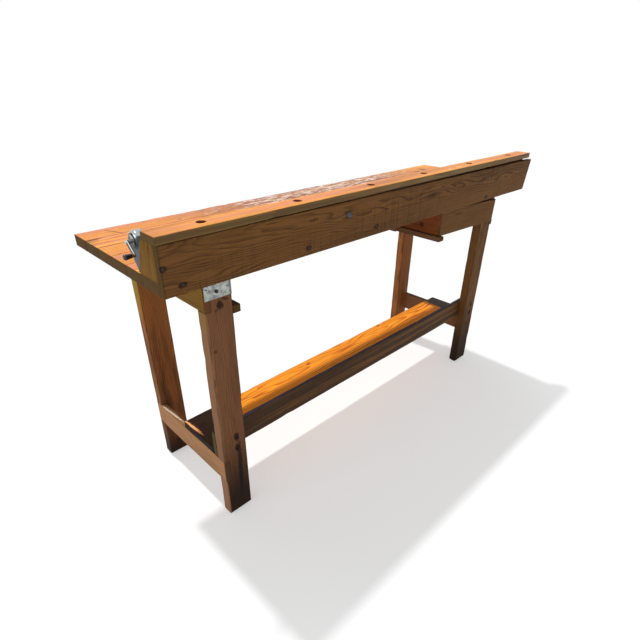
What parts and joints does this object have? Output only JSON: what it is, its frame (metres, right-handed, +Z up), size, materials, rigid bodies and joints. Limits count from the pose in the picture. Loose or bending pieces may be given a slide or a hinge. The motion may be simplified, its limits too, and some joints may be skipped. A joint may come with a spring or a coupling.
{
  "type": "carpenter's workbench",
  "caption": "Wooden trestle workbench with a raised front beam with dog holes, a drawer on runners, a low shelf and a crank sharpener.",
  "frame": {"origin": "on the floor, at the middle of the overall footprint", "axes": "+X along the bench towards the drawer end, +Y from the apron to the rear, +Z up"},
  "size_m": [1.8162, 0.544, 1.05],
  "materials": {
    "varnished_boards": "varnished softwood, orange brown, worn",
    "varnished_strip": "varnished softwood, orange brown, worn",
    "shelf_pine": "varnished softwood",
    "ochre_pine": "oiled softwood, yellow brown",
    "dark_pine": "oiled softwood, dark brown, worn",
    "drawer_box_wood": "oiled softwood, reddish brown",
    "galvanised_steel": "hot dip galvanised sheet steel, spangled",
    "fixing_steel": "tarnished steel",
    "chrome_plate": "chrome plated sheet steel",
    "die_cast_metal": "grey painted cast metal",
    "bright_steel": "bright plated steel",
    "tool_steel": "ground tool steel",
    "knob_black": "moulded black knob"
  },
  "bodies": {
    "bench": {"apron_bolt": "fixing_steel", "apron_nails": "fixing_steel", "beam_end_block": "ochre_pine", "beam_riser_blocks": "dark_pine", "beam_top_strip": "varnished_strip", "bracket_screws": "fixing_steel", "drawer_runner_left": "dark_pine", "drawer_runner_right": "dark_pine", "front_apron": "dark_pine", "front_left_leg": "dark_pine", "front_right_leg": "dark_pine", "front_stretcher": "dark_pine", "ledge_strip_left": "dark_pine", "ledge_strip_right": "dark_pine", "leg_bracket": "galvanised_steel", "lower_rail_left": "ochre_pine", "lower_rail_right": "dark_pine", "rear_left_leg": "dark_pine", "rear_right_leg": "dark_pine", "runner_hanger_front": "dark_pine", "runner_hanger_rear": "dark_pine", "sharpener_frame": "die_cast_metal", "sharpener_ring_gear": "tool_steel", "sharpener_screws": "fixing_steel", "shelf_board": "shelf_pine", "stretcher_screws": "fixing_steel", "tabletop_board_1": "varnished_boards", "tabletop_board_2": "varnished_boards", "tabletop_board_3": "varnished_boards", "tabletop_board_4": "varnished_boards", "tabletop_board_5": "varnished_boards", "tabletop_board_6": "varnished_boards", "upper_rail_left": "ochre_pine", "upper_rail_right": "dark_pine"},
    "drawer": {"drawer_front": "dark_pine", "drawer_side_left": "drawer_box_wood", "drawer_side_right": "drawer_box_wood", "drawer_back": "drawer_box_wood", "drawer_bottom": "drawer_box_wood"},
    "crank": {"crank_arm": "bright_steel", "crank_shaft": "bright_steel", "crank_nut": "bright_steel", "knob_pin": "bright_steel", "sharpener_carrier": "die_cast_metal"},
    "knob": {"crank_knob": "knob_black"},
    "cutter_front": {"sharpener_cutter_front": "tool_steel"},
    "cutter_rear": {"sharpener_cutter_rear": "tool_steel"},
    "receptacle": {"sharpener_receptacle": "chrome_plate", "sharpener_dial_rivet": "bright_steel"},
    "size_dial": {"sharpener_size_dial": "bright_steel"}
  },
  "joints": [
    {"name": "drawer_slide", "type": "slide", "parent": "bench", "child": "drawer", "axis": [0, -1, 0], "range_m": [0, 0.28]},
    {"name": "crank_turn", "type": "hinge", "parent": "bench", "child": "crank", "pos_m": [-0.85788, -0.15706, 1.01654], "axis": [1, 0, 0], "continuous": true},
    {"name": "knob_spin", "type": "hinge", "parent": "crank", "child": "knob", "pos_m": [-0.89587, -0.18345, 0.99279], "axis": [1, 0, 0], "continuous": true},
    {"name": "cutter_front_spin", "type": "hinge", "parent": "crank", "child": "cutter_front", "pos_m": [-0.83788, -0.16486, 1.01654], "axis": [1, 0, 0], "continuous": true},
    {"name": "cutter_rear_spin", "type": "hinge", "parent": "crank", "child": "cutter_rear", "pos_m": [-0.83788, -0.14926, 1.01654], "axis": [1, 0, 0], "continuous": true},
    {"name": "receptacle_twist", "type": "hinge", "parent": "bench", "child": "receptacle", "pos_m": [-0.82988, -0.15706, 1.01654], "axis": [1, 0, 0], "range_deg": [0, 25]},
    {"name": "size_dial_turn", "type": "hinge", "parent": "receptacle", "child": "size_dial", "pos_m": [-0.81012, -0.15706, 1.00854], "axis": [1, 0, 0], "continuous": true}
  ],
  "couplings": [
    {"joint": "cutter_front_spin", "follows": "crank_turn", "ratio": -4},
    {"joint": "cutter_rear_spin", "follows": "crank_turn", "ratio": -4}
  ]
}
